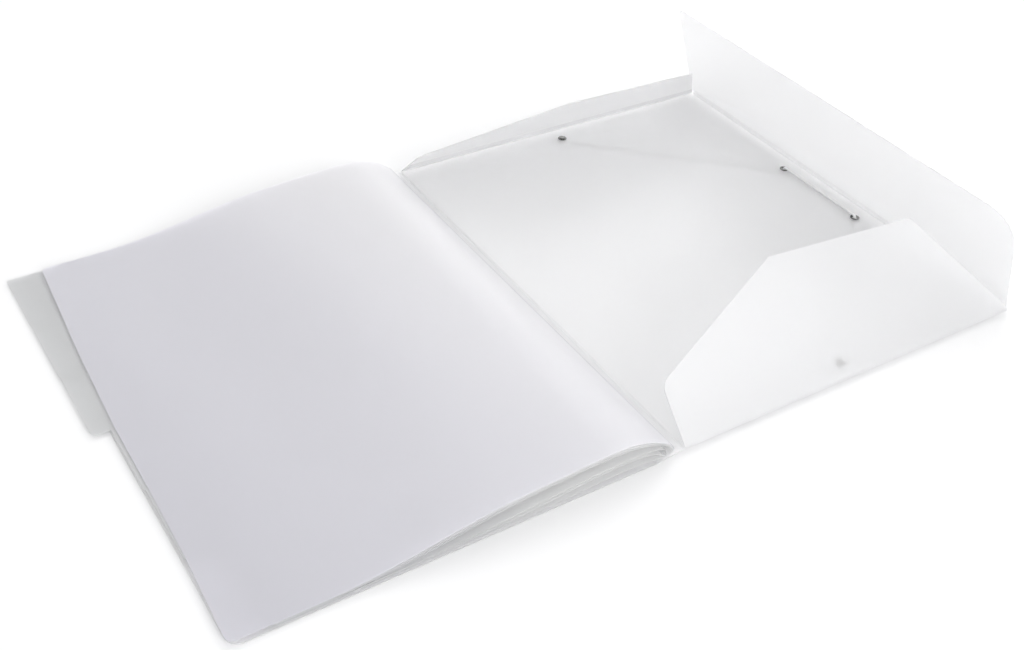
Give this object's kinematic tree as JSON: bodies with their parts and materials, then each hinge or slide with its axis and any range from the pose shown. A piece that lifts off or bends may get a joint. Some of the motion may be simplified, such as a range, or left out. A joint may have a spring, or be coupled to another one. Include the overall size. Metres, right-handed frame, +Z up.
{
  "type": "three-flap elastic file with tabbed dividers",
  "caption": "Open flap file of frosted plastic sheet, with a scored spine, three inner flaps that fold over the papers, tabbed dividers and an elastic cord.",
  "frame": {"origin": "on the table, at the middle of the open file's outline seen from above", "axes": "+X from the front cover to the back cover and its side flap, +Y from the foot to the head of a page, +Z up"},
  "size_m": [0.5323, 0.32, 0.0781],
  "materials": {
    "frosted_sheet": "frosted, slightly see-through",
    "divider_sheet": "frosted, slightly see-through",
    "eyelet_metal": "nickel plated",
    "elastic": "braided cover"
  },
  "bodies": {
    "back": {"back_cover": "frosted_sheet", "eyelet_head": "eyelet_metal", "eyelet_foot": "eyelet_metal", "eyelet_fore_upper": "eyelet_metal", "eyelet_fore_lower": "eyelet_metal", "elastic_cord": "elastic", "cord_end_head": "eyelet_metal", "cord_end_foot": "eyelet_metal"},
    "spine": {"spine_panel": "frosted_sheet"},
    "front": {"front_cover": "frosted_sheet"},
    "margin_1": {"divider_margin_1": "divider_sheet"},
    "leaf_1": {"divider_1": "divider_sheet"},
    "margin_2": {"divider_margin_2": "divider_sheet"},
    "leaf_2": {"divider_2": "divider_sheet"},
    "margin_3": {"divider_margin_3": "divider_sheet"},
    "leaf_3": {"divider_3": "divider_sheet"},
    "margin_4": {"divider_margin_4": "divider_sheet"},
    "leaf_4": {"divider_4": "divider_sheet"},
    "margin_5": {"divider_margin_5": "divider_sheet"},
    "leaf_5": {"divider_5": "divider_sheet"},
    "margin_6": {"divider_margin_6": "divider_sheet"},
    "leaf_6": {"divider_6": "divider_sheet"},
    "head_gusset": {"head_gusset": "frosted_sheet"},
    "head_flap": {"head_flap": "frosted_sheet"},
    "foot_gusset": {"foot_gusset": "frosted_sheet"},
    "foot_flap": {"foot_flap": "frosted_sheet"},
    "side_gusset": {"side_gusset": "frosted_sheet"},
    "side_flap": {"side_flap": "frosted_sheet"}
  },
  "joints": [
    {"name": "back_fold", "type": "hinge", "parent": "spine", "child": "back", "pos_m": [0.00318, 0, 0.0025], "axis": [0, -1, 0], "range_deg": [0, 97.98]},
    {"name": "front_fold", "type": "hinge", "parent": "spine", "child": "front", "pos_m": [-0.01464, 0, 0], "axis": [0, 1, 0], "range_deg": [0, 82.04]},
    {"name": "divider_fold_1", "type": "hinge", "parent": "spine", "child": "margin_1", "pos_m": [-0.01033, 0, 0.00166], "axis": [0, 1, 0], "range_deg": [0, 78.04]},
    {"name": "divider_bend_1", "type": "hinge", "parent": "margin_1", "child": "leaf_1", "pos_m": [-0.03826, 0, 0.00362], "axis": [0, 1, 0], "range_deg": [0, 4.65]},
    {"name": "divider_fold_2", "type": "hinge", "parent": "spine", "child": "margin_2", "pos_m": [-0.00885, 0, 0.00187], "axis": [0, 1, 0], "range_deg": [0, 70.04]},
    {"name": "divider_bend_2", "type": "hinge", "parent": "margin_2", "child": "leaf_2", "pos_m": [-0.03623, 0, 0.00769], "axis": [0, 1, 0], "range_deg": [0, 13.49]},
    {"name": "divider_fold_3", "type": "hinge", "parent": "spine", "child": "margin_3", "pos_m": [-0.00736, 0, 0.00208], "axis": [0, 1, 0], "range_deg": [0, 66.04]},
    {"name": "divider_bend_3", "type": "hinge", "parent": "margin_3", "child": "leaf_3", "pos_m": [-0.03427, 0, 0.0098], "axis": [0, 1, 0], "range_deg": [0, 17.83]},
    {"name": "divider_fold_4", "type": "hinge", "parent": "spine", "child": "margin_4", "pos_m": [-0.00587, 0, 0.00229], "axis": [0, 1, 0], "range_deg": [0, 52.04]},
    {"name": "divider_bend_4", "type": "hinge", "parent": "margin_4", "child": "leaf_4", "pos_m": [-0.03012, 0, 0.01629], "axis": [0, 1, 0], "range_deg": [0, 33.27]},
    {"name": "divider_fold_5", "type": "hinge", "parent": "spine", "child": "margin_5", "pos_m": [-0.00439, 0, 0.0025], "axis": [0, 1, 0], "range_deg": [0, 48.04]},
    {"name": "divider_bend_5", "type": "hinge", "parent": "margin_5", "child": "leaf_5", "pos_m": [-0.0276, 0, 0.01816], "axis": [0, 1, 0], "range_deg": [0, 37.55]},
    {"name": "divider_fold_6", "type": "hinge", "parent": "spine", "child": "margin_6", "pos_m": [-0.0029, 0, 0.00271], "axis": [0, 1, 0], "range_deg": [0, 44.04]},
    {"name": "divider_bend_6", "type": "hinge", "parent": "margin_6", "child": "leaf_6", "pos_m": [-0.02497, 0, 0.01995], "axis": [0, 1, 0], "range_deg": [0, 41.82]},
    {"name": "head_gusset_fold", "type": "hinge", "parent": "back", "child": "head_gusset", "pos_m": [0.13468, 0.16, 0.0025], "axis": [1, 0, 0], "range_deg": [-135, 0]},
    {"name": "foot_gusset_fold", "type": "hinge", "parent": "back", "child": "foot_gusset", "pos_m": [0.13468, -0.16, 0.0025], "axis": [-1, 0, 0], "range_deg": [-135, 0]},
    {"name": "side_gusset_fold", "type": "hinge", "parent": "back", "child": "side_gusset", "pos_m": [0.26618, 0, 0.0025], "axis": [0, -1, 0], "range_deg": [-109, 0]},
    {"name": "head_flap_fold", "type": "hinge", "parent": "head_gusset", "child": "head_flap", "pos_m": [0.13468, 0.15717, 0.00533], "axis": [1, 0, 0], "range_deg": [0, 45.02]},
    {"name": "foot_flap_fold", "type": "hinge", "parent": "foot_gusset", "child": "foot_flap", "pos_m": [0.13468, -0.15717, 0.00533], "axis": [-1, 0, 0], "range_deg": [0, 45.02]},
    {"name": "side_flap_fold", "type": "hinge", "parent": "side_gusset", "child": "side_flap", "pos_m": [0.26475, 0, 0.00666], "axis": [0, -1, 0], "range_deg": [0, 71.02]}
  ],
  "couplings": [
    {"joint": "front_fold", "follows": "back_fold", "ratio": 0.83704},
    {"joint": "divider_fold_1", "follows": "back_fold", "ratio": 0.79622},
    {"joint": "divider_bend_1", "follows": "back_fold", "ratio": 0.04728},
    {"joint": "divider_fold_2", "follows": "back_fold", "ratio": 0.71457},
    {"joint": "divider_bend_2", "follows": "back_fold", "ratio": 0.13746},
    {"joint": "divider_fold_3", "follows": "back_fold", "ratio": 0.67375},
    {"joint": "divider_bend_3", "follows": "back_fold", "ratio": 0.18176},
    {"joint": "divider_fold_4", "follows": "back_fold", "ratio": 0.53087},
    {"joint": "divider_bend_4", "follows": "back_fold", "ratio": 0.33938},
    {"joint": "divider_fold_5", "follows": "back_fold", "ratio": 0.49005},
    {"joint": "divider_bend_5", "follows": "back_fold", "ratio": 0.38307},
    {"joint": "divider_fold_6", "follows": "back_fold", "ratio": 0.44922},
    {"joint": "divider_bend_6", "follows": "back_fold", "ratio": 0.42656},
    {"joint": "head_flap_fold", "follows": "back_fold", "ratio": 0.45926},
    {"joint": "foot_flap_fold", "follows": "back_fold", "ratio": 0.45926},
    {"joint": "side_flap_fold", "follows": "back_fold", "ratio": 0.72461}
  ]
}
